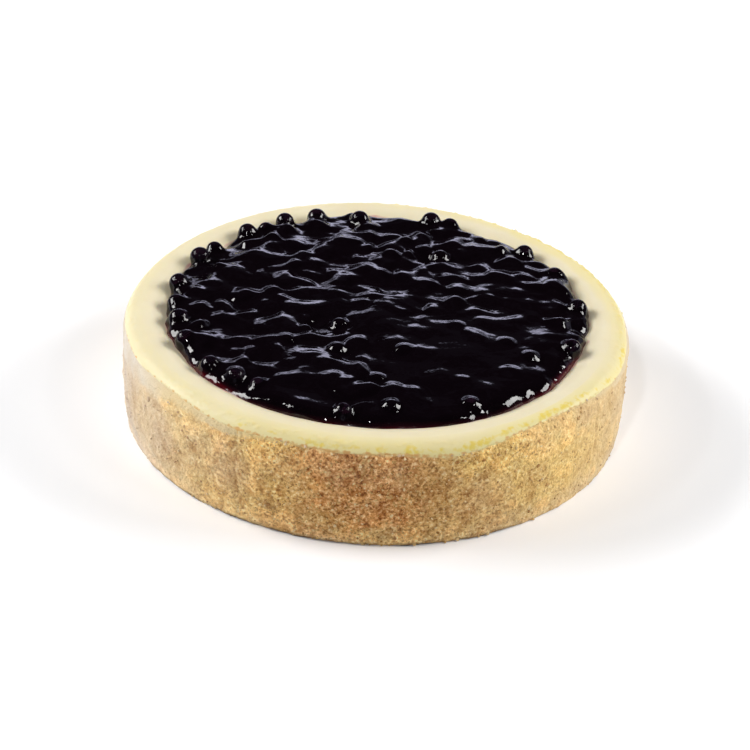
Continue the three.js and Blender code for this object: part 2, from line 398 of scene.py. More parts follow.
def finish_with(piece, node, material):
    """The piece rides on the cake, stands for its solid and takes its finish."""
    piece.data.materials.append(material)
    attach(piece, "root")
    if node:
        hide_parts(node)
    print(piece.name, len(piece.data.polygons), "faces")


# %% [markdown]
# Finishes are built from the same few steps: a random pattern in the cake's own coordinates,
# a ramp that turns it into colours, and a bump. Small helpers keep each finish readable.

# %% Shader helpers
BLACK, WHITE = (0, 0, 0), (1, 1, 1)


class Finish:
    """A material under construction: its nodes, its links and its main shader."""

    def __init__(self, name, roughness, **settings):
        self.material = bpy.data.materials.new(name)
        self.material.use_nodes = True
        self.nodes = self.material.node_tree.nodes
        self.links = self.material.node_tree.links
        self.shader = self.nodes["Principled BSDF"]
        self.shader.inputs["Roughness"].default_value = roughness
        for socket, value in settings.items():
            self.shader.inputs[socket.replace("_", " ")].default_value = value
        self.coordinates = self.nodes.new("ShaderNodeTexCoord").outputs["Object"]

    def pattern(self, kind, scale, output, **settings):
        """A random pattern. scale is the count of its features in each metre."""
        node = self.nodes.new(kind)
        self.links.new(self.coordinates, node.inputs["Vector"])
        node.inputs["Scale"].default_value = scale
        for socket, value in settings.items():
            node.inputs[socket.replace("_", " ")].default_value = value
        return node.outputs[output]

    def red(self, colour):
        """The first channel of a random colour, which is an even draw from 0 to 1."""
        node = self.nodes.new("ShaderNodeSeparateColor")
        self.links.new(colour, node.inputs[0])
        return node.outputs[0]

    def stored(self, name):
        """The number that the piece keeps for each of its points."""
        node = self.nodes.new("ShaderNodeAttribute")
        node.attribute_name = name
        return node.outputs["Fac"]

    def ramp(self, value, *stops):
        """Colours at given places from 0 to 1, blended between."""
        node = self.nodes.new("ShaderNodeValToRGB")
        elements = node.color_ramp.elements
        while len(elements) < len(stops):
            elements.new(0.5)
        for element, (position, colour) in zip(elements, stops):
            element.position = position
            element.color = (*colour, 1)
        self.links.new(value, node.inputs["Fac"])
        return node.outputs["Color"]

    def mask(self, value, low, high):
        """Goes from 0 to 1 while the value goes from low to high."""
        return self.ramp(value, (low, BLACK), (high, WHITE))

    def blend(self, share, a, b, kind="MIX"):
        """Two colours mixed by a share, which is a number or another socket."""
        node = self.nodes.new("ShaderNodeMix")
        node.data_type = "RGBA"
        node.blend_type = kind
        for socket, value in ((node.inputs["Factor"], share), (node.inputs["A"], a), (node.inputs["B"], b)):
            self.put(value, socket)
        return node.outputs["Result"]

    def put(self, value, socket):
        """Links a socket, or sets a plain number or colour."""
        if isinstance(value, bpy.types.NodeSocket):
            self.links.new(value, socket)
        else:
            socket.default_value = (*value, 1) if isinstance(value, tuple) else value

    def sum(self, a, b, kind="ADD"):
        """Two numbers joined by one step of arithmetic, which is a sum unless kind says another."""
        node = self.nodes.new("ShaderNodeMath")
        node.operation = kind
        self.put(a, node.inputs[0])
        self.put(b, node.inputs[1])
        return node.outputs[0]

    def bump(self, height, distance, strength=1.0):
        """Fine relief: height is a pattern, and distance its depth in metres."""
        node = self.nodes.new("ShaderNodeBump")
        node.inputs["Distance"].default_value = distance
        node.inputs["Strength"].default_value = strength
        self.links.new(height, node.inputs["Height"])
        self.links.new(node.outputs["Normal"], self.shader.inputs["Normal"])

    def colour(self, value):
        """Sets the finish's colour, and gives back the finished material."""
        self.put(value, self.shader.inputs["Base Color"])
        return self.material


# %% [markdown]
# The crust is crushed biscuit pressed against the tin. Some filling is smeared over the crumbs
# below the edge, most of it on the left, and the crumbs are browner in front and paler at the
# sides. The paleness at the sides is partly the crumbs' own colour and partly painted side
# light. An image could carry all this. Tables of rises round the turn do it here, because each
# patch can be moved or made stronger on its own.

# %% Where the crumbs change
# Each rise is a clock angle, a half width in degrees and a height
SMEAR_WIDTH = 2.1
SMEAR_SWELLS = [(-170, 30, 21), (6, 30, 9), (-122, 10, 3), (110, 40, 3)]
SMEAR_LEAST, SMEAR_MOST = 0.15, 0.85
BROWN_SWELLS = [(-90, 17, 1.0), (62, 24, 0.6), (125, 26, 0.7)]
BROWN_RISE = 17
# Paleness round the turn: partly the crumbs' own colour, partly painted side light at the left and right
PALE_AND_SIDE_LIGHT_SWELLS = [(-174, 38, 0.95), (4, 36, 0.55), (90, 20, 0.3)]
PALE_FOOT = 0.25
PALE_FOOT_END = 14
# Painted light on the crumbs: lighter towards the foot and towards the top edge
FOOT_PAINTED_LIGHT = [(-114, 60, 0.7), (90, 70, 0.4)]
TOP_PAINTED_LIGHT = [(-122, 24, 0.5), (-55, 16, 0.4)]
FOOT_PAINTED_LIGHT_END = 16
TOP_PAINTED_LIGHT_START, TOP_PAINTED_LIGHT_RISE = 28, 14
# The grains show most in front and behind, and least where the filling has soaked the crumbs
ROUGH_BASE = 0.3
ROUGH_SWELLS = [(-92, 40, 0.7), (92, 50, 0.6)]
# Painted contact shadow at the foot: where it lies, and how far up
FOOT_SHADOW_SWELLS = [(-118, 34, 0.8), (-70, 30, 0.4)]
FOOT_SHADOW_HEIGHT = 2.6
# Creases left by the tin's joint and folds in its lining: clock angle and depth
CREASES = [(-120, 0.35), (-73, 0.4), (-31, 0.35), (38, 0.4), (118, 0.4)]
CREASE_WIDTH = 0.7
CREASE_WANDER = 1.2


def below_edge(angle, r, z):
    """Distance down the wall from the top edge of the crumbs, in millimetres along the profile."""
    tilt = np.arctan2(z - SHOULDER_FOOT, np.maximum(r - CREST_RADIUS, 0.01))
    tilt = np.where(z > SHOULDER_FOOT, tilt, 0)
    return SHOULDER * (crumb_reach(angle) - tilt) + np.maximum(SHOULDER_FOOT - z, 0)


def smear(angle, r, z):
    """Share of filling smeared over the crumbs: most at the edge, gone lower down, thin where narrow."""
    width = SMEAR_WIDTH + swells(angle, SMEAR_SWELLS)
    return (1 - smooth(below_edge(angle, r, z) / width)) * np.clip(SMEAR_LEAST + width / 9, 0, SMEAR_MOST)


def creases(angle, spots):
    """Depth of the upright creases, each a narrow groove that wanders a little."""
    total = 0
    for clock, depth in CREASES:
        away = np.radians(degrees_from(clock, angle)) * CAKE_RADIUS + CREASE_WANDER * noise(spots, 9, 17)
        total = total + depth * np.exp(-((away / CREASE_WIDTH) ** 2))
    return total


def crumb_painted_light(angle, z):
    """Painted light on the crumbs: how much lighter near the foot and near the top, each where its table
    says.
    """
    low = swells(angle, FOOT_PAINTED_LIGHT) * (1 - smooth(z / FOOT_PAINTED_LIGHT_END))
    return low + swells(angle, TOP_PAINTED_LIGHT) * smooth((z - TOP_PAINTED_LIGHT_START) / TOP_PAINTED_LIGHT_RISE)


clocks = np.radians(np.arange(0, 360, 60))
print("smear width, mm, every 60 degrees:", np.round(SMEAR_WIDTH + swells(clocks, SMEAR_SWELLS), 1))

# %% [markdown]
# Pressing leaves a wall that is flat as a whole and gritty close up. So the crust's surface is
# its profile turned round the axis, and then pushed in and out by fine random fields. A
# Displace modifier does the same with a texture, but here the same fields also go to the
# finish, which then knows where the relief is high or low and paints shade into the low places
# and light onto the high ones.

# %% Crumb crust
WALL_COLUMNS = 1200
WALL_ROWS = 66
ARC_ROWS = 8
UNDERSIDE_RING = 60
FIRST_ROW = 0.35
# Relief of the wall, of grit and of broader lumps, and how much of it is left where crumbs are soaked
GRIT = 0.45
LUMP = 0.4
RELIEF_LEAST = 0.5
# The edge is bitten by random notches in degrees of tilt, and sinks over the last share of the arc
EDGE_BITE, EDGE_NIBBLE = 5, 3
EDGE_SINK = 0.3
EDGE_START = 0.7
# Rows inside the edge: depth under the shoulder, and share of the tilt; then a hidden wall and floor
INNER_ROWS = [(1.0, 1.0), (1.6, 0.9), (2.0, 0.6)]
HIDDEN_RADIUS = 109
HIDDEN_FLOOR = 20


def crust_profile(angle):
    """Distance and height of each row: underside, wall, shoulder, over the edge and down inside."""
    one = np.ones_like(angle)
    round_trip = on_round(angle, CAKE_RADIUS, 0)
    notches = EDGE_BITE * noise(round_trip, 3.0, 40) + EDGE_NIBBLE * noise(round_trip, 1.1, 41)
    ragged = crumb_reach(angle) + np.radians(notches)
    rows = [(r * one, 0 * one) for r in (0, UNDERSIDE_RING, FOOT_RADIUS - FOOT_ROUND)]
    for z in np.linspace(FIRST_ROW, SHOULDER_FOOT, WALL_ROWS):
        tuck = FOOT_ROUND * (1 - math.sqrt(1 - max(0, 1 - z / FOOT_ROUND) ** 2))
        rows.append((wall_radius(z) - tuck + crag(angle, z), z * one))
    for share in np.linspace(0, 1, ARC_ROWS + 1)[1:]:
        tilt = ragged * share
        z = SHOULDER_FOOT + SHOULDER * np.sin(tilt)
        sunk = EDGE_SINK * smooth((share - EDGE_START) / (1 - EDGE_START))
        across, up = (SHOULDER - sunk) * np.cos(tilt), -sunk * np.sin(tilt)
        rows.append((CREST_RADIUS + across + crag(angle, z) * (1 - share), z + up))
    for deep, share in INNER_ROWS:
        tilt = ragged * share
        inner = SHOULDER - deep
        rows.append((CREST_RADIUS + inner * np.cos(tilt), SHOULDER_FOOT + inner * np.sin(tilt)))
    rows += [(HIDDEN_RADIUS * one, HIDDEN_FLOOR * one), (0 * one, HIDDEN_FLOOR * one)]
    return (np.stack([row[n] for row in rows]) for n in (0, 1))


def crust_surface(columns):
    """The profile turned, and pushed out by grit and lumps and in by creases, with the finish's fields."""
    turn = np.linspace(0, TURN, columns, endpoint=False)
    r, z = crust_profile(turn)
    angle = turn[None, :]
    spots = on_round(angle, r, z)
    grit = 0.6 * layered_noise(spots, 2.6, 7, 2) + 0.4 * noise(spots, 1.0, 9)
    lump = layered_noise(spots, 7, 15, 2)
    broad = layered_noise(spots, 24, 12)
    crease = creases(angle, spots)
    spread = smear(angle, r, z)
    rough = ROUGH_BASE + swells(angle, ROUGH_SWELLS) + 0 * z
    relief = (GRIT * grit + LUMP * lump) * (1 - spread) * mix(RELIEF_LEAST, 1, np.clip(rough, 0, 1))
    shown = (z > 0.3) & (r > CREST_RADIUS)
    # Where the painted contact shadow at the foot lies
    foot_shadow_patches = np.clip(swells(angle, FOOT_SHADOW_SWELLS) + 0.7 * noise(spots, 9, 19), 0, 1)
    fields = {
        # The grit is also read by the finish for painted shade where the relief is low
        "grit": 0.5 + 0.5 * grit,
        "smear": spread,
        "brown": swells(angle, BROWN_SWELLS) * smooth(z / BROWN_RISE) + 0.4 * broad + 0.25 * lump,
        "rough": rough,
        # Paler at the sides, partly painted side light, and paler towards the foot
        "pale": swells(angle, PALE_AND_SIDE_LIGHT_SWELLS) + PALE_FOOT * (1 - smooth(z / PALE_FOOT_END)) + 0.15 * broad,
        # Painted light and shade: lighter on the lumps, at the foot and at the top edge, darker in the
        # creases
        "lump": 0.5 + 0.4 * lump - crease + crumb_painted_light(angle, z),
        # Painted contact shadow at the foot
        "foot": (1 - smooth(z / FOOT_SHADOW_HEIGHT)) * foot_shadow_patches,
    }
    fields = {name: np.clip(field, 0, 1) for name, field in fields.items()}
    return place(angle, r + np.where(shown, relief - crease, 0), z), fields


rows, crust_fields = crust_surface(WALL_COLUMNS)
crust = turned_piece("crumb_wall", rows)
store_rows(crust, crust_fields)
print("grit on the wall, share:", round(float(crust_fields["grit"].mean()), 2))

# %% [markdown]
# Close up, baked crumb is a mass of pits and grains in many tans. A photograph of crumb could
# be wrapped round, but it would repeat and blur. Here one fine noise makes the pits and makes
# them darker too, which is partly painted shade; a random draw for each grain makes it lighter
# or darker, and three ramps turn that into golden, rusty or pale crumb, the pale one partly
# painted side light. The stored fields choose between them, paint shade into the hollows and
# creases, light at the foot and the top edge and a contact shadow at the very foot, and lay the
# smeared cream on top.

# %% Finish of the crumbs
GRAINS_IN_METRE = 720
DRAWS_IN_METRE = 820
DRAW_SHARE = 0.14
GOLDEN_GRAINS = [
    (0.42, (0.40, 0.198, 0.05)),
    (0.50, (0.73, 0.452, 0.14)),
    (0.62, (0.91, 0.635, 0.228)),
    (0.74, (1.0, 0.86, 0.48)),
]
RUSTY_GRAINS = [
    (0.42, (0.26, 0.085, 0.018)),
    (0.50, (0.57, 0.25, 0.072)),
    (0.62, (0.76, 0.39, 0.13)),
    (0.74, (1.0, 0.73, 0.40)),
]
# Pale crumb and the even colour of the pale sides: partly their own colour, partly painted side light
PALE_SIDE_LIT_GRAINS = [(0.42, (0.47, 0.375, 0.295)), (0.7, (0.65, 0.565, 0.49))]
SOAKED, SOAKED_SIDE_LIT = (0.74, 0.535, 0.228), (0.58, 0.49, 0.40)
# Painted light and shade of the relief: darker in hollows and creases, lighter on lumps, foot and top edge
LUMP_LIGHT_AND_SHADE = [
    (0.0, (0.82, 0.72, 0.62)),
    (0.35, (1.0, 0.99, 0.98)),
    (0.6, (1.04, 1.04, 1.0)),
    (1.0, (1.3, 1.27, 1.15)),
]
# Painted contact shadow along the foot
FOOT_SHADOW_COLOUR = (0.10, 0.055, 0.035)


def crumb_colour(f, grain):
    """Tans by grain, even where soaked and paler at the sides, partly painted side light, then times random
    patches and painted shade in the hollows, painted light and shade of the lumps, and a painted contact
    shadow at the foot.
    """
    draw = f.red(f.pattern("ShaderNodeTexVoronoi", DRAWS_IN_METRE, "Color"))
    shade = f.sum(grain, f.sum(draw, DRAW_SHARE, "MULTIPLY"))
    tans = f.blend(f.stored("brown"), f.ramp(shade, *GOLDEN_GRAINS), f.ramp(shade, *RUSTY_GRAINS))
    # Paler at the sides, partly painted side light
    grains = f.blend(f.stored("pale"), tans, f.ramp(shade, *PALE_SIDE_LIT_GRAINS))
    grains = f.blend(f.stored("rough"), f.blend(f.stored("pale"), SOAKED, SOAKED_SIDE_LIT), grains)
    uneven = f.pattern("ShaderNodeTexNoise", 230, "Fac", Detail=4.0)
    patches = f.ramp(uneven, (0.36, (0.74, 0.60, 0.50)), (0.54, WHITE))
    # Painted shade where the grit is low
    hollow_shade = f.ramp(f.stored("grit"), (0.0, (0.6, 0.46, 0.36)), (0.36, WHITE))
    patches_and_hollow_shade = f.blend(1.0, patches, hollow_shade, "MULTIPLY")
    hollow_shaded = f.blend(f.stored("rough"), grains, f.blend(1.0, grains, patches_and_hollow_shade, "MULTIPLY"))
    # Painted light and shade of the lumps and creases, and painted light at the foot and the top edge
    lump_lit_and_shaded = f.blend(1.0, hollow_shaded, f.ramp(f.stored("lump"), *LUMP_LIGHT_AND_SHADE), "MULTIPLY")
    # Painted contact shadow at the foot
    return f.blend(f.stored("foot"), lump_lit_and_shaded, FOOT_SHADOW_COLOUR)


def smeared_cream(f):
    """Thin filling over the crumbs: pinkish with pale streaks where it is broad and the sides are pale,
    partly painted side light, and golden elsewhere.
    """
    pinkish = f.ramp(f.stored("smear"), (0.3, (0.66, 0.54, 0.41)), (0.9, (0.61, 0.54, 0.445)))
    streaks = f.mask(f.pattern("ShaderNodeTexNoise", 100, "Fac", Detail=3.0), 0.42, 0.62)
    pinkish = f.blend(streaks, pinkish, (0.66, 0.60, 0.52))
    return f.blend(f.sum(f.stored("pale"), 1.2, "MULTIPLY"), (0.76, 0.57, 0.25), pinkish)


def crumb_finish():
    """Matte crumb under smeared cream, with a bump from the same pits that give the colour, so the pits'
    darkness is partly painted shade.
    """
    f = Finish("baked_crumb", 0.9, Specular_IOR_Level=0.1, Sheen_Weight=0.04, Sheen_Roughness=0.5)
    f.shader.inputs["Sheen Tint"].default_value = (1.0, 0.93, 0.85, 1)
    grain = f.pattern("ShaderNodeTexNoise", GRAINS_IN_METRE, "Fac", Detail=3.0, Roughness=0.65)
    cloudy = f.pattern("ShaderNodeTexNoise", 190, "Fac", Detail=5.0)
    smeared = f.mask(f.sum(f.stored("smear"), cloudy), 0.62, 1.0)
    pits = f.sum(grain, f.sum(f.stored("rough"), 0.4, "MAXIMUM"), "MULTIPLY")
    f.bump(pits, 0.003, 0.8)
    return f.colour(f.blend(smeared, crumb_colour(f, grain), smeared_cream(f)))


finish_with(crust, "crumb_crust", crumb_finish())

# %% [markdown]
# Single crumbs stand out of the pressed wall. Each is a small angular lump with its own
# size, turn and shade. A particle system could scatter them, but it is slow to export and
# hard to keep away from smeared places. All of them are made at once instead: one
# twenty-sided solid is copied, jittered, stretched and turned as whole arrays, and set half
# into the wall.

# %% Loose crumbs on the wall
GOLDEN = (1 + 5**0.5) / 2
ICO_POINTS = np.array(
    [(0, a, b * GOLDEN) for a in (-1, 1) for b in (-1, 1)]
    + [(a, b * GOLDEN, 0) for a in (-1, 1) for b in (-1, 1)]
    + [(a * GOLDEN, 0, b) for a in (-1, 1) for b in (-1, 1)]
) / math.hypot(1, GOLDEN)
CORNER_JITTER = (0.78, 1.18)
STRETCH = (0.65, 1.3)
FLOOR_GAP = 0.1 * MM
SUNK = 0.1
# A few crumbs also lie where the grains hardly show
STRAY_SHARE = 0.02
# name: how many are tried, smallest and largest size, seed
CRUMBS = {"fine_crumbs": (6500, 0.6, 1.1, 11), "coarse_crumbs": (2600, 1.0, 1.7, 12)}


def hull_faces(points):
    """The faces of a convex solid: every three of its points that have all the others on one side."""
    n = len(points)
    i, j, k = np.array([(a, b, c) for a in range(n) for b in range(a + 1, n) for c in range(b + 1, n)]).T
    normal = np.cross(points[j] - points[i], points[k] - points[i])
    offset = np.einsum("fc,fc->f", normal, points[i])
    side = normal @ points.T - offset[:, None]
    outward = (side < 1e-9).all(1)
    inward = (side > -1e-9).all(1)
    return np.concatenate([np.stack([i, j, k], 1)[outward], np.stack([i, k, j], 1)[inward]])


def lumps(name, centres, sizes, rng, shades):
    """Angular lumps: one solid copied to every centre, each with its own stretch, jitter and turn."""
    faces = hull_faces(ICO_POINTS)
    count = len(centres)
    shape = ICO_POINTS[None] * rng.uniform(*CORNER_JITTER, (count, len(ICO_POINTS), 1))
    shape = shape * rng.uniform(*STRETCH, (count, 1, 3)) * sizes[:, None, None] / 2
    q = rng.normal(size=(count, 4))
    w, x, y, z = (q / np.linalg.norm(q, axis=1, keepdims=True)).T
    turn = np.stack(
        [
            np.stack([1 - 2 * (y * y + z * z), 2 * (x * y - z * w), 2 * (x * z + y * w)], -1),
            np.stack([2 * (x * y + z * w), 1 - 2 * (x * x + z * z), 2 * (y * z - x * w)], -1),
            np.stack([2 * (x * z - y * w), 2 * (y * z + x * w), 1 - 2 * (x * x + y * y)], -1),
        ],
        -2,
    )
    points = np.einsum("nij,nkj->nki", turn, shape) * MM + centres[:, None, :]
    points[..., 2] = np.maximum(points[..., 2], FLOOR_GAP)
    every = faces[None] + len(ICO_POINTS) * np.arange(count)[:, None, None]
    piece = new_piece(name, points.reshape(-1, 3), every.reshape(-1, 3))
    piece.data.shade_flat()
    store(piece, "shade", np.repeat(shades, len(ICO_POINTS)))
    return piece


def wall_spots(count, rng):
    """Random places on the wall up to the crumbs' edge, most where the grains show, and their paleness,
    which is partly painted side light.
    """
    angle = rng.uniform(0, TURN, count)
    top = SHOULDER_FOOT + SHOULDER * crumb_reach(angle)
    along = 0.5 + rng.uniform(0, 1, count) * (top - 0.5)
    tilt = np.maximum(0, along - SHOULDER_FOOT) / SHOULDER
    z = np.where(along < SHOULDER_FOOT, along, SHOULDER_FOOT + SHOULDER * np.sin(tilt))
    r = np.where(along < SHOULDER_FOOT, wall_radius(along), CREST_RADIUS + SHOULDER * np.cos(tilt))
    covered = smear(angle, r, z)
    grainy = (swells(angle, ROUGH_SWELLS) + STRAY_SHARE) / (1 - ROUGH_BASE)
    keep = rng.uniform(0, 1, count) < (1 - covered) ** 2 * grainy
    # Paler at the sides, partly painted side light, and where filling covers them
    pale = np.clip(swells(angle, PALE_AND_SIDE_LIGHT_SWELLS) + 1.5 * covered, 0, 1)
    return place(angle, r + crag(angle, z) - SUNK, z)[keep], pale[keep]


def grain_finish():
    """Single crumbs: the shade of each lump picks its brown, and they are paler at the sides, partly
    painted side light.
    """
    f = Finish("loose_crumb", 0.95, Specular_IOR_Level=0.05)
    tone = f.ramp(
        f.stored("shade"),
        (0.0, (0.36, 0.17, 0.055)),
        (0.3, (0.56, 0.33, 0.12)),
        (0.8, (0.72, 0.49, 0.21)),
        (1.0, (0.82, 0.65, 0.38)),
    )
    return f.colour(f.blend(f.stored("pale"), tone, (0.62, 0.51, 0.42)))


grain_material = grain_finish()
for crumb_name, (count, small, large, seed) in CRUMBS.items():
    rng = np.random.default_rng(seed)
    spots, pale = wall_spots(count, rng)
    sizes, shades = rng.uniform(small, large, len(spots)), rng.uniform(0, 1, len(spots))
    crumbs = lumps(crumb_name, spots, sizes, rng, shades)
    store(crumbs, "pale", np.repeat(pale, len(ICO_POINTS)))
    finish_with(crumbs, None, grain_material)

# %% [markdown]
# The filling is smooth baked cheese. It swells into a rounded rim and sinks in the middle.
# A Bevel modifier could round the rim, but the true round also waves a little and is torn
# where it left the tin. So its surface is the turned profile with a slow random wave. It
# reaches a little under the crumbs, so that no gap shows at the edge.

# %% Cheese filling
GLAZE_RADIUS = 96
GLAZE_WAVES = [(0.7, 5, 0.4 - QUARTER), (0.5, 11, 2.1 - QUARTER), (0.35, 17, -QUARTER)]
GLAZE_UNEVEN = 0.7
RIM_COLUMNS = 1000
RIM_ROWS = 46
RIM_STEP = 0.6
RIM_WAVE = 0.22
HIDDEN_ROWS = [(0, 25), (105, 25), (108.5, 33)]
HIDDEN_RING = 40
# Over the dip's edge the skin runs on a little way in, just over the solid's top
DIP_MARGIN = 3
DIP_LIFT = 0.2
CREST_SINK = 0.1
# The skin is uneven above this height
UNEVEN_FROM = 40
# The skin starts this far below the crumbs' edge, tucked in, and comes out over these tilts
UNDER_CRUMBS = math.radians(16)
TUCK, TUCK_START, TUCK_OVER = 0.45, math.radians(12), math.radians(11)
SKIN_GAP = 0.08
# Where the skin is torn, stuck with crumbs and yellow: clock angle, half width and height
TORN_SWELLS = [(42, 46, 1.0), (-100, 40, 0.35), (170, 60, 0.2)]
TORN_TILT = math.radians(60)
TORN_LIFT, TORN_PUSH = 0.7, 1.0
# The yellow band inside the torn skin: where it starts, how far that wavers, and how soon it is full
BAND_START, BAND_WAVER, BAND_RISE = 101.5, 1.5, 5
STUCK_SWELLS = [(-98, 34, 1.0)]
YELLOW_SWELLS = [(-88, 42, 0.75), (-30, 34, 0.6), (40, 50, 0.6), (110, 50, 0.3)]
YELLOW_LEAST = 0.25
STAIN_REACH = 1.6


def glaze_edge(angle):
    """The glaze's outline: a circle with three sets of waves and a small random unevenness."""
    uneven = GLAZE_UNEVEN * noise(on_round(angle, GLAZE_RADIUS, 0), 5, 61)
    return GLAZE_RADIUS + waves(angle, GLAZE_WAVES) + uneven


def filling_profile(angle):
    """Distance and height of each row: from below, behind the crust, over the rim and into the dip."""
    reach = crumb_reach(angle)
    one = np.ones_like(angle)
    rows = [(r * one, z * one) for r, z in HIDDEN_ROWS]
    for share in np.linspace(0, 1, RIM_ROWS):
        tilt = mix(reach - UNDER_CRUMBS, QUARTER, share)
        deep = SHOULDER - SKIN_GAP - TUCK * (1 - smooth((tilt - reach + TUCK_START) / TUCK_OVER))
        rows.append((CREST_RADIUS + deep * np.cos(tilt), SHOULDER_FOOT + deep * np.sin(tilt)))
    for r in np.arange(CREST_RADIUS - RIM_STEP, DIP_INNER_RADIUS - DIP_MARGIN, -RIM_STEP):
        rows.append((r * one, np.minimum(RIM_HEIGHT - CREST_SINK, dip_height(r) + DIP_LIFT) * one))
    rows += [(HIDDEN_RING * one, DIP_FLOOR * one), (0 * one, DIP_FLOOR * one)]
    return (np.stack([row[n] for row in rows]) for n in (0, 1))


def filling_surface(columns):
    """The profile turned, with slow waves and a ragged skin where it tore, and the finish's fields."""
    turn = np.linspace(0, TURN, columns, endpoint=False)
    r, z = filling_profile(turn)
    angle = turn[None, :]
    spots = on_round(angle, r, z)
    tilt = np.arctan2(z - SHOULDER_FOOT, np.maximum(r - CREST_RADIUS, 0.01))
    above = tilt - crumb_reach(angle)
    start = BAND_START + BAND_WAVER * noise(spots, 6, 53)
    band = swells(angle, TORN_SWELLS) * smooth((r - start) / BAND_RISE)
    torn = swells(angle, TORN_SWELLS) * np.exp(-(((tilt - TORN_TILT) / 0.3) ** 2)) * (r > CREST_RADIUS)
    ragged = np.maximum(0, layered_noise(spots, 2.4, 50, 2)) * torn
    wave = RIM_WAVE * layered_noise(spots, 22, 3, 2) + 0.05 * noise(spots, 3.5, 5)
    z = z + np.where(z > UNEVEN_FROM, wave, 0) + TORN_LIFT * ragged
    r = r + TORN_PUSH * ragged
    outside = np.clip(YELLOW_LEAST + swells(angle, YELLOW_SWELLS), 0, 1) * (r > CREST_RADIUS)
    stuck = swells(angle, STUCK_SWELLS)
    near = np.exp(-((np.maximum(above + 0.04, 0) / (0.1 + 0.12 * stuck)) ** 2))
    fields = {
        "stain": np.exp(-(((r - glaze_edge(angle)) / STAIN_REACH) ** 2)) * (z > UNEVEN_FROM),
        "edge": outside * np.exp(-(((above - 0.2) / 0.36) ** 2)),
        "warm": outside * np.exp(-((above / 0.75) ** 2)),
        "near": (r > CREST_RADIUS) * (1 + 0.3 * stuck) * near,
        "torn": np.clip(torn + ragged, 0, 1),
        "band": np.clip(band, 0, 1),
    }
    return place(angle, r, z), fields


rows, filling_fields = filling_surface(RIM_COLUMNS)
filling = turned_piece("cheese_rim", rows)
store_rows(filling, filling_fields)
print("highest point of the rim, mm:", round(1000 * float(rows[..., 2].max()), 1))

# %% [markdown]
# Baked cheese lets a little light in, so its finish has some subsurface scattering. It is
# yellower outside, where its skin touched the tin, with lemon flecks, gold where it tore,
# brown where crumbs stuck to it, and red where juice has run. Painting would do it too; here
# each colour is laid over the last by a mask, which is a stored field times a noise.

# %% Finish of the filling
CREAM_DARK, CREAM_LIGHT = (0.715, 0.64, 0.445), (0.75, 0.68, 0.495)
WARM_CREAM = (0.77, 0.67, 0.30)
BAND_CREAM = (0.77, 0.67, 0.31)
LEMON = (0.75, 0.59, 0.12)
STUCK_CRUMB = (0.66, 0.38, 0.13)
TORN_GOLD = (0.77, 0.65, 0.26)
JUICE = (0.55, 0.20, 0.22)


def filling_finish():
    """Soft pale cream that lets light in, with each stain laid over it in turn."""
    f = Finish("baked_cheese", 0.45, Subsurface_Weight=0.25, Subsurface_Scale=0.003, Specular_IOR_Level=0.3)
    f.shader.inputs["Subsurface Radius"].default_value = (1.0, 0.75, 0.4)
    clouds = f.pattern("ShaderNodeTexNoise", 38, "Fac", Detail=3.0)
    flecks = f.pattern("ShaderNodeTexNoise", 420, "Fac", Detail=3.0)
    groups = f.sum(f.pattern("ShaderNodeTexNoise", 110, "Fac", Detail=1.0), flecks, "MULTIPLY")
    grains = f.sum(f.pattern("ShaderNodeTexNoise", 420, "Fac", Detail=4.0), 0.6, "SUBTRACT")
    blots = f.pattern("ShaderNodeTexNoise", 120, "Fac", Detail=2.0)
    near = f.sum(f.stored("near"), 0.6, "MULTIPLY")
    torn = f.sum(f.sum(flecks, 1.2, "MULTIPLY"), f.stored("torn"), "MULTIPLY")
    cream = f.ramp(clouds, (0.3, CREAM_DARK), (0.7, CREAM_LIGHT))
    cream = f.blend(f.sum(f.stored("warm"), 0.85, "MULTIPLY"), cream, WARM_CREAM)
    cream = f.blend(f.sum(f.stored("band"), 0.75, "MULTIPLY"), cream, BAND_CREAM)
    cream = f.blend(f.mask(f.sum(groups, f.stored("edge"), "MULTIPLY"), 0.215, 0.33), cream, LEMON)
    cream = f.blend(f.mask(f.sum(near, grains), 0.5, 0.7), cream, STUCK_CRUMB)
    cream = f.blend(f.mask(torn, 0.1, 0.75), cream, TORN_GOLD)
    cream = f.blend(f.mask(f.sum(blots, f.stored("stain"), "MULTIPLY"), 0.42, 0.75), cream, JUICE)
    f.bump(f.pattern("ShaderNodeTexNoise", 900, "Fac", Detail=3.0), 0.0002, 0.35)
    return f.colour(cream)


filling_material = filling_finish()
finish_with(filling, "cheese_filling", filling_material)

# %% [markdown]
# Where the rim left the tin, a few bits of its skin stand up. They are too few for a scatter,
# so each is placed one by one, as an angular lump like the crumbs but larger and in the
# filling's own finish.

# %% Torn bits of the rim
# Clock angle and tilt in degrees, and size
TORN_BITS = [(10.5, 18, 3.2), (12, 24, 2.2), (40, 45, 1.8), (47, 49, 2.2), (54, 53, 2.6), (64, 55, 2.0)]
BITS_SUNK = 0.5
BITS_TORN = 0.35


def torn_spots():
    """Where the bits stand: on the shoulder's round, a little under its skin."""
    angle, tilt = np.radians([bit[:2] for bit in TORN_BITS]).T
    deep = SHOULDER - BITS_SUNK
    return place(angle, CREST_RADIUS + deep * np.cos(tilt), SHOULDER_FOOT + deep * np.sin(tilt))


sizes = np.array([bit[2] for bit in TORN_BITS])
bits = lumps("torn_bits", torn_spots(), sizes, np.random.default_rng(8), np.zeros(len(TORN_BITS)))
store(bits, "torn", np.full(len(bits.data.vertices), BITS_TORN))
finish_with(bits, None, filling_material)

# %% [markdown]
# The berries lie one layer deep in the dip. Those that stand out along the edge are placed
# one by one, from the picture, as a clock angle, a distance and a size. The others could be
# dropped in with rigid bodies, but such a fall differs from run to run. They come from a
# seeded scatter that keeps them apart, the same as in the solids.

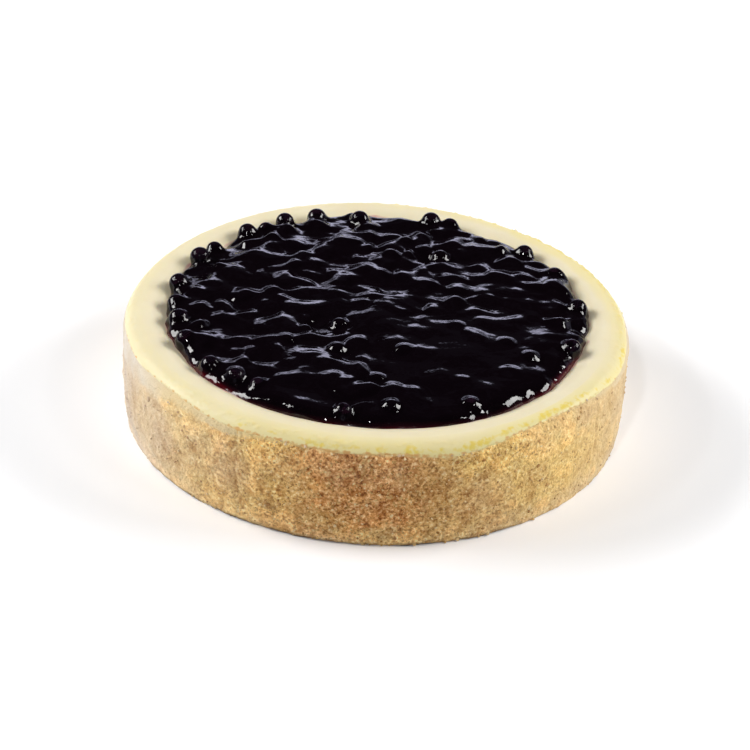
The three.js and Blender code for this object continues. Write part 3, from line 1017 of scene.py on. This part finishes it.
# %% Where the berries lie
GLAZE_LEVEL = 52.4
GLAZE_DOME = 1.8
POOL_X, POOL_Y, POOL_REACH, POOL_DEPTH = 36, -38, 44, 1.5
BERRY_RADIUS = 4.2
BERRY_SPREAD = 0.55
BERRY_GAP = 0.98
BERRY_TRIES = 1600
BERRY_LIFT = 1.6
LOW_SHARE = 0.6
BERRY_BED = 1.5 * CLEARANCE
BARE_PATCH = 0.5
BERRY_FIELD_RADIUS = 85
# Clock angle in degrees, distance from the axis, radius
EDGE_BERRIES = [
    (133, 93.5, 4.2),
    (127, 91.5, 3.9),
    (120, 93, 4.4),
    (110, 92, 4.6),
    (97, 88, 4.5),
    (75, 92, 4.7),
    (69, 92, 4.2),
    (147, 93, 3.9),
    (154, 93.5, 4.7),
    (170, 93, 4.5),
    (-179, 91, 4.3),
    (-170, 90, 4.5),
    (-157, 91, 4.9),
    (-142, 91, 4.5),
    (-133, 88.5, 4.4),
    (-125, 87, 4.1),
    (-98, 89, 4.0),
    (-62, 89, 4.2),
    (-17, 91, 4.5),
    (6, 91.5, 4.6),
    (26, 91, 4.5),
    (42, 92, 4.3),
]


def chance(n):
    """A repeatable draw between 0 and 1: the fraction of a large sine."""
    x = math.sin(n * 127.1 + 311.7) * 43758.5453
    return x - math.floor(x)


def pool(x, y):
    """How deep the glaze lies, from 0 to 1: a soft mound of glaze to one side."""
    return np.exp(-((x - POOL_X) ** 2 + (y - POOL_Y) ** 2) / POOL_REACH**2)


def berry_height(r, radius):
    """The height at which a berry's centre just clears the dip under it, tried at nine places across."""
    d = np.linspace(-radius, radius, 9)
    resting = dip_height(r + d) + np.sqrt(np.maximum(0, radius**2 - d**2))
    return float(np.max(resting)) + BERRY_BED


def place_berries():
    """Rows of x, y, z, radius in millimetres: the edge first, then the scatter, thinner in the pool."""
    berries = []
    for clock, distance, radius in EDGE_BERRIES:
        x, y = distance * math.cos(math.radians(clock)), distance * math.sin(math.radians(clock))
        berries.append((x, y, berry_height(math.hypot(x, y), radius), radius))
    for n in range(BERRY_TRIES):
        distance = BERRY_FIELD_RADIUS * math.sqrt(chance(4 * n))
        angle = TURN * chance(4 * n + 1)
        radius = BERRY_RADIUS + BERRY_SPREAD * (2 * chance(4 * n + 2) - 1)
        x, y = distance * math.cos(angle), distance * math.sin(angle)
        bare = math.sin(0.085 * x + 1) * math.sin(0.095 * y + 0.04 * x) > BARE_PATCH
        clear = all(math.hypot(x - b[0], y - b[1]) > BERRY_GAP * (radius + b[3]) for b in berries)
        if clear and not bare and chance(4 * n + 3) > pool(x, y):
            lift = BERRY_LIFT * (chance(4 * n + 2.5) - LOW_SHARE)
            berries.append((x, y, berry_height(math.hypot(x, y), radius) + lift, radius))
    return np.array(berries)


berries = place_berries()
print(len(berries), "berries")

# %% [markdown]
# Glaze is a thick liquid that has set over the berries. It could be a sheet of cloth dropped
# on balls, or a height for each place; a height can't bulge over the edge as a berry does.
# So the form is a field: a number for each point in space, negative inside. A slab and a ball
# for each berry are each such a field, and a smooth minimum melts them into one skin. Most
# berries wear a film of their own thickness, which makes their domes wider and lower. Their
# places are swayed by a noise, because set glaze runs in folds and not in neat rings, and
# some patches are drowned, so that the glaze lies calm there.

# %% Field of the glaze
GLAZE_BEAD = 9
BEAD_OUT = 0.9
GLAZE_WAVE = 1.0
POOL_CALM = 0.8
# The level is rough, each time with a height and a cell: broadly, and in folds across the cake
BROAD_ROUGH, BROAD_CELL = 2.0, 20
FOLD_ROUGH, FOLD_CELL = 0.6, 7.5
FOLD_STRETCH = 0.45
FOLD_BEND, BEND_CELL = 5, 26
# How far the glaze is drawn up round a berry, and how thick its film is
DRAW_UP = 3.4
EDGE_DRAW_UP = 2.4
FILM = 1.6
FILM_SPREAD = 0.9
# Some of the scattered berries stand proud and bare
PROUD_SHARE = 0.12
PROUD_LIFT = 0.7
SWAY = 3.0
SWAY_CELL = 9
DROWN = 1.6
CALM_CELL = 22


def soft_min(a, b, width):
    """The smaller of two fields, rounded where they are closer than width."""
    near = np.maximum(width - np.abs(a - b), 0) / width
    return np.minimum(a, b) - near * near * width / 4


def glaze_level(x, y):
    """Height between the berries: a low dome, a deeper pool, a slow wave and a random unevenness."""
    dome = GLAZE_DOME * (1 - ((x * x + y * y) / GLAZE_RADIUS**2) ** 2)
    wave = GLAZE_WAVE * np.sin(0.15 * x + 0.08 * y) * np.sin(0.22 * y - 0.06 * x + 1)
    spots = np.stack([x, y, np.zeros_like(x)], -1)
    bend = FOLD_BEND * noise(spots, BEND_CELL, 35)
    folds = np.stack([FOLD_STRETCH * x, y + bend, np.zeros_like(x)], -1)
    broad = BROAD_ROUGH * layered_noise(spots, BROAD_CELL, 21, 2)
    rough = broad + FOLD_ROUGH * layered_noise(folds, FOLD_CELL, 31, 2)
    calm = pool(x, y)
    return GLAZE_LEVEL + dome + POOL_DEPTH * calm + (1 - POOL_CALM * calm) * (wave + rough)


def past_edge(x, y):
    """How far a place lies beyond the glaze's outline, in millimetres, and negative within it."""
    return np.hypot(x, y) - BEAD_OUT - glaze_edge(np.arctan2(y, x))


def glaze_slab(x, y, z):
    """The slab alone: below its level and inside its edge, with the two met in a round bead."""
    return -soft_min(glaze_level(x, y) - z, -past_edge(x, y), GLAZE_BEAD)


def swayed(x, y):
    """The place moved sideways by a random field, so that a ball measured from there is no longer round."""
    spots = np.stack([x, y, np.zeros_like(x)], -1)
    return x + SWAY * noise(spots, SWAY_CELL, 71), y + SWAY * noise(spots, SWAY_CELL, 72)


def filmed_balls():
    """Each berry as it shapes the glaze: x, y, z, radius, how far it is drawn up, whether it is swayed."""
    soft = smooth(3 * noise(berries[:, :3], CALM_CELL, 81))
    drowned = DROWN * np.clip(pool(berries[:, 0], berries[:, 1]) + soft, 0, 1)
    balls = [(*berry, EDGE_DRAW_UP, False) for berry in berries[: len(EDGE_BERRIES)]]
    for number in range(len(EDGE_BERRIES), len(berries)):
        x, y, z, radius = berries[number]
        if chance(number + 0.25) < PROUD_SHARE:
            balls.append((x, y, z + PROUD_LIFT, radius, EDGE_DRAW_UP, False))
        else:
            film = FILM + FILM_SPREAD * (2 * chance(number + 0.6) - 1)
            balls.append((x, y, z - film - drowned[number], radius + film, DRAW_UP, True))
    return balls


def add_balls(field, x, y, z):
    """Melts every berry into the field, working only on the points near it."""
    sway_x, sway_y = swayed(x, y)
    for bx, by, bz, radius, width, moved in BALLS:
        px, py = (sway_x, sway_y) if moved else (x, y)
        near = np.nonzero(np.hypot(px - bx, py - by) < radius + width)
        ball = np.sqrt((px[near] - bx) ** 2 + (py[near] - by) ** 2 + (z[near] - bz) ** 2) - radius
        field[near] = soft_min(field[near], ball, width)
    return field


BALLS = filmed_balls()
print(sum(ball[-1] for ball in BALLS), "berries under a film,", sum(not ball[-1] for ball in BALLS), "bare")

# %% [markdown]
# The skin is where the field is zero. A lattice of cubes is laid over the topping. Each cube
# that the skin passes through gets one point, and each lattice line that crosses it joins
# four such points into a face. A few steps down the field's slope then put every point
# exactly on the skin, so that the gloss is clean. A Remesh modifier works much like this, but
# it has no field to step down, and gloss shows the steps that it leaves.

# %% Skin of the glaze
LATTICE = 0.68
SKIN_LOW, SKIN_HIGH = 46.6, 59.0
SKIN_HALF = 99.0
SLOPE_LEAST = 0.2
STEP_MOST = 0.5


def lattice_cells(values):
    """A number for each cube that holds both signs, and the mean place of the crossings on its edges."""
    inside = values < 0
    shape = tuple(n - 1 for n in values.shape)
    count = np.zeros(shape, np.int8)
    for corner in range(8):
        i, j, k = corner & 1, corner >> 1 & 1, corner >> 2
        count += inside[i : shape[0] + i, j : shape[1] + j, k : shape[2] + k]
    cells = np.argwhere((count > 0) & (count < 8))
    total = np.zeros(cells.shape)
    crossings = np.zeros(len(cells))
    for axis in range(3):
        step = np.eye(3, dtype=int)[axis]
        for first, second in ((0, 0), (0, 1), (1, 0), (1, 1)):
            corner = np.zeros(3, int)
            corner[(axis + 1) % 3], corner[(axis + 2) % 3] = first, second
            a = values[tuple((cells + corner).T)]
            b = values[tuple((cells + corner + step).T)]
            crossed = (a < 0) != (b < 0)
            share = np.where(crossed, a / np.where(a == b, 1, a - b), 0)
            total += crossed[:, None] * (corner + share[:, None] * step)
            crossings += crossed
    number = np.full(shape, -1)
    number[tuple(cells.T)] = np.arange(len(cells))
    return number, cells + total / crossings[:, None]


def lattice_faces(inside, number):
    """Four cells round every crossed lattice line, in the order that makes the face look outwards."""
    faces = []
    for axis in range(3):
        order = (axis, (axis + 1) % 3, (axis + 2) % 3)
        solid, cell = inside.transpose(order), number.transpose(order)
        i, j, k = np.nonzero(solid[:-1, 1:-1, 1:-1] != solid[1:, 1:-1, 1:-1])
        ring = np.stack([cell[i, j, k], cell[i, j + 1, k], cell[i, j + 1, k + 1], cell[i, j, k + 1]], -1)
        leaving = solid[i, j + 1, k + 1]
        faces.append(np.where(leaving[:, None], ring, ring[:, ::-1]))
    return np.concatenate(faces)


def glaze_field(x, y, z):
    """The whole field at places near the skin: the slab with every berry melted in."""
    return add_balls(glaze_slab(x, y, z), x, y, z)


def on_skin(points, rounds=3, probe=0.02):
    """Moves points along the field's slope until the field is zero there."""
    for _ in range(rounds):
        x, y, z = points.T.copy()
        here = glaze_field(x, y, z)
        ahead = [glaze_field(x + dx, y + dy, z + dz) for dx, dy, dz in np.eye(3) * probe]
        slope = np.stack([there - here for there in ahead], -1) / probe
        size = np.maximum((slope**2).sum(-1), SLOPE_LEAST)
        points = points - np.clip(here / size, -STEP_MOST, STEP_MOST)[:, None] * slope
    return points


def closed_below(triangles, count):
    """The triangles and a fan that joins every open edge to one more point, whose number is count."""
    start = triangles.ravel()
    end = np.roll(triangles, -1, axis=1).ravel()
    shared = np.isin(start * count + end, end * count + start)
    fan = np.stack([end[~shared], start[~shared], np.full((~shared).sum(), count)], -1)
    print("open edges closed by the fan:", len(fan))
    return np.concatenate([triangles, fan])


def glaze_skin():
    """Points in millimetres and triangles of the skin, closed below by a fan to one middle point."""
    side = np.arange(-SKIN_HALF, SKIN_HALF, LATTICE)
    x, y, z = np.meshgrid(side, side, np.arange(SKIN_LOW, SKIN_HIGH, LATTICE), indexing="ij")
    # The level and the edge are the same all the way up a column, so they are worked out once
    level = glaze_level(x[:, :, 0], y[:, :, 0])[:, :, None]
    within = -past_edge(x[:, :, 0], y[:, :, 0])[:, :, None]
    values = add_balls(-soft_min(level - z, within + 0 * z, GLAZE_BEAD), x, y, z)
    number, spots = lattice_cells(values)
    faces = lattice_faces(values < 0, number)
    points = on_skin(spots * LATTICE + [side[0], side[0], SKIN_LOW])
    triangles = closed_below(np.concatenate([faces[:, [0, 1, 2]], faces[:, [0, 2, 3]]]), len(points))
    used, renumbered = np.unique(triangles, return_inverse=True)
    return np.concatenate([points, [[0, 0, SKIN_LOW]]])[used], renumbered.reshape(-1, 3)


points, triangles = glaze_skin()
print("highest point of the glaze, mm:", round(float(points[:, 2].max()), 1))

# %% [markdown]
# Set juice is clear and dark: deep red where a thin edge lets light through, and almost black
# elsewhere. True absorption through the volume would show that too, but slowly and with much
# noise. So the depth of the glaze at each point is stored, and a ramp turns it into colour.

# %% Finish of the glaze
# Where the edge runs out thin: clock angle, half width and how much; and how far in from the edge
THIN_SWELLS = [(-30, 14, 0.8), (-137, 12, 0.6), (-166, 9, 0.4)]
THIN_REACH = 5
GLAZE_TONES = [
    (0.0, (0.055, 0.003, 0.006)),
    (0.2, (0.03, 0.002, 0.004)),
    (0.45, (0.010, 0.002, 0.004)),
    (0.9, (0.0026, 0.0012, 0.0022)),
]
THIN_ROUGHNESS, THICK_ROUGHNESS = (0.22,) * 3, (0.05,) * 3


def glaze_piece():
    """The skin as a piece, which keeps its depth over the filling and how thin its edge is."""
    r, angle = np.hypot(points[:, 0], points[:, 1]), np.arctan2(points[:, 1], points[:, 0])
    piece = new_piece("berry_glaze", place(angle, r, points[:, 2]), triangles)
    store(piece, "depth", points[:, 2] - dip_height(r))
    store(piece, "thin", swells(angle, THIN_SWELLS) * (1 - smooth((glaze_edge(angle) - r) / THIN_REACH)))
    return piece


def glaze_finish():
    """Set juice: deep red where it is thin and almost black where it is thick, with a wet shine."""
    f = Finish("dark_glaze", 0.06, IOR=1.38)
    f.bump(f.pattern("ShaderNodeTexNoise", 240, "Fac", Detail=2.0), 0.0005, 0.5)
    depth = f.sum(f.stored("depth"), 0.25, "MULTIPLY")
    roughness = f.ramp(depth, (0.1, THIN_ROUGHNESS), (0.45, THICK_ROUGHNESS))
    f.put(roughness, f.shader.inputs["Roughness"])
    patches = f.sum(f.pattern("ShaderNodeTexNoise", 45, "Fac", Detail=2.0), 0.9, "MULTIPLY")
    thick = f.sum(depth, f.sum(patches, 0.3, "SUBTRACT"))
    return f.colour(f.ramp(f.sum(thick, f.stored("thin"), "SUBTRACT"), *GLAZE_TONES))


finish_with(glaze_piece(), "berry_topping", glaze_finish())

# %% [markdown]
# Along the edge the berries come out of the glaze. They are small spheres, with the
# five-pointed crown that such berries have at one end. A sphere is a grid of latitude and
# longitude, and the crown is a ring that rises where the longitude's cosine says so. A
# ready-made sphere would need the same moves after it. Each berry is turned its own way.

# %% Berries
BERRY_ROWS = 18
BERRY_COLUMNS = 26
CROWN_TILT = math.radians(24)
CROWN_WIDTH = math.radians(7)
# The crown's height and the depth of the hollow in it, as shares of the radius
CROWN_HEIGHT, CROWN_DEPTH = 0.03, 0.06
# The berries stand this much out of the glaze's own balls, so that only they are seen
PROUD = 0.02


def berry_shape():
    """One berry of radius 1: a sphere with a low crown ring and a hollow inside it."""
    tilts = np.linspace(0, math.pi, BERRY_ROWS)
    turns = np.linspace(0, TURN, BERRY_COLUMNS, endpoint=False)
    tilt, turn = np.meshgrid(tilts, turns, indexing="ij")
    ring = np.exp(-(((tilt - CROWN_TILT) / CROWN_WIDTH) ** 2)) * (0.6 + 0.4 * np.cos(5 * turn))
    hollow = np.exp(-((tilt / (0.8 * CROWN_TILT)) ** 2))
    r = 1 + CROWN_HEIGHT * ring - CROWN_DEPTH * hollow
    across = r * np.sin(tilt)
    points = np.stack([across * np.cos(turn), across * np.sin(turn), r * np.cos(tilt)], -1)
    row, column = np.meshgrid(np.arange(BERRY_ROWS - 1), np.arange(BERRY_COLUMNS), indexing="ij")
    after = (column + 1) % BERRY_COLUMNS
    a, b = row * BERRY_COLUMNS + column, row * BERRY_COLUMNS + after
    c, d = (row + 1) * BERRY_COLUMNS + after, (row + 1) * BERRY_COLUMNS + column
    upper = np.stack([a, c, b], -1).reshape(-1, 3)[row.ravel() > 0]
    lower = np.stack([a, d, c], -1).reshape(-1, 3)[row.ravel() < BERRY_ROWS - 2]
    # A pole's row holds one point many times, and the first of them stands for all
    first = np.arange(points.size // 3)
    first[:BERRY_COLUMNS] = 0
    first[-BERRY_COLUMNS:] = len(first) - BERRY_COLUMNS
    used, renumbered = np.unique(first[np.concatenate([upper, lower])], return_inverse=True)
    return points.reshape(-1, 3)[used], renumbered.reshape(-1, 3)


def berry_piece(shown, rng):
    """A turned copy of the one shape for each berry that is shown, set where it lies."""
    shape, faces = berry_shape()
    axis = rng.normal(size=(len(shown), 3))
    axis /= np.linalg.norm(axis, axis=1, keepdims=True)
    helper = np.where(np.abs(axis[:, :1]) < 0.8, [[1.0, 0, 0]], [[0, 1.0, 0]])
    side = np.cross(axis, helper)
    side /= np.linalg.norm(side, axis=1, keepdims=True)
    turn = np.stack([side, np.cross(axis, side), axis], -1)
    shaped = np.einsum("nij,kj->nki", turn, shape) * (shown[:, 3, None, None] + PROUD)
    spots = shaped + shown[:, None, :3]
    angle = np.arctan2(spots[..., 1], spots[..., 0])
    points = place(angle, np.hypot(spots[..., 0], spots[..., 1]), spots[..., 2])
    every = faces[None] + len(shape) * np.arange(len(shown))[:, None, None]
    return new_piece("glazed_berries", points.reshape(-1, 3), every.reshape(-1, 3))


def berry_finish():
    """Skin of a cooked dark berry under a wet film: blue-black with a faint red mottle."""
    f = Finish("dark_berry", 0.08, IOR=1.3, Specular_IOR_Level=0.2)
    mottle = f.pattern("ShaderNodeTexNoise", 300, "Fac", Detail=3.0)
    return f.colour(f.ramp(mottle, (0.35, (0.004, 0.003, 0.006)), (0.75, (0.014, 0.004, 0.009))))


edge_berries = berry_piece(berries[: len(EDGE_BERRIES)], np.random.default_rng(5))
finish_with(edge_berries, None, berry_finish())
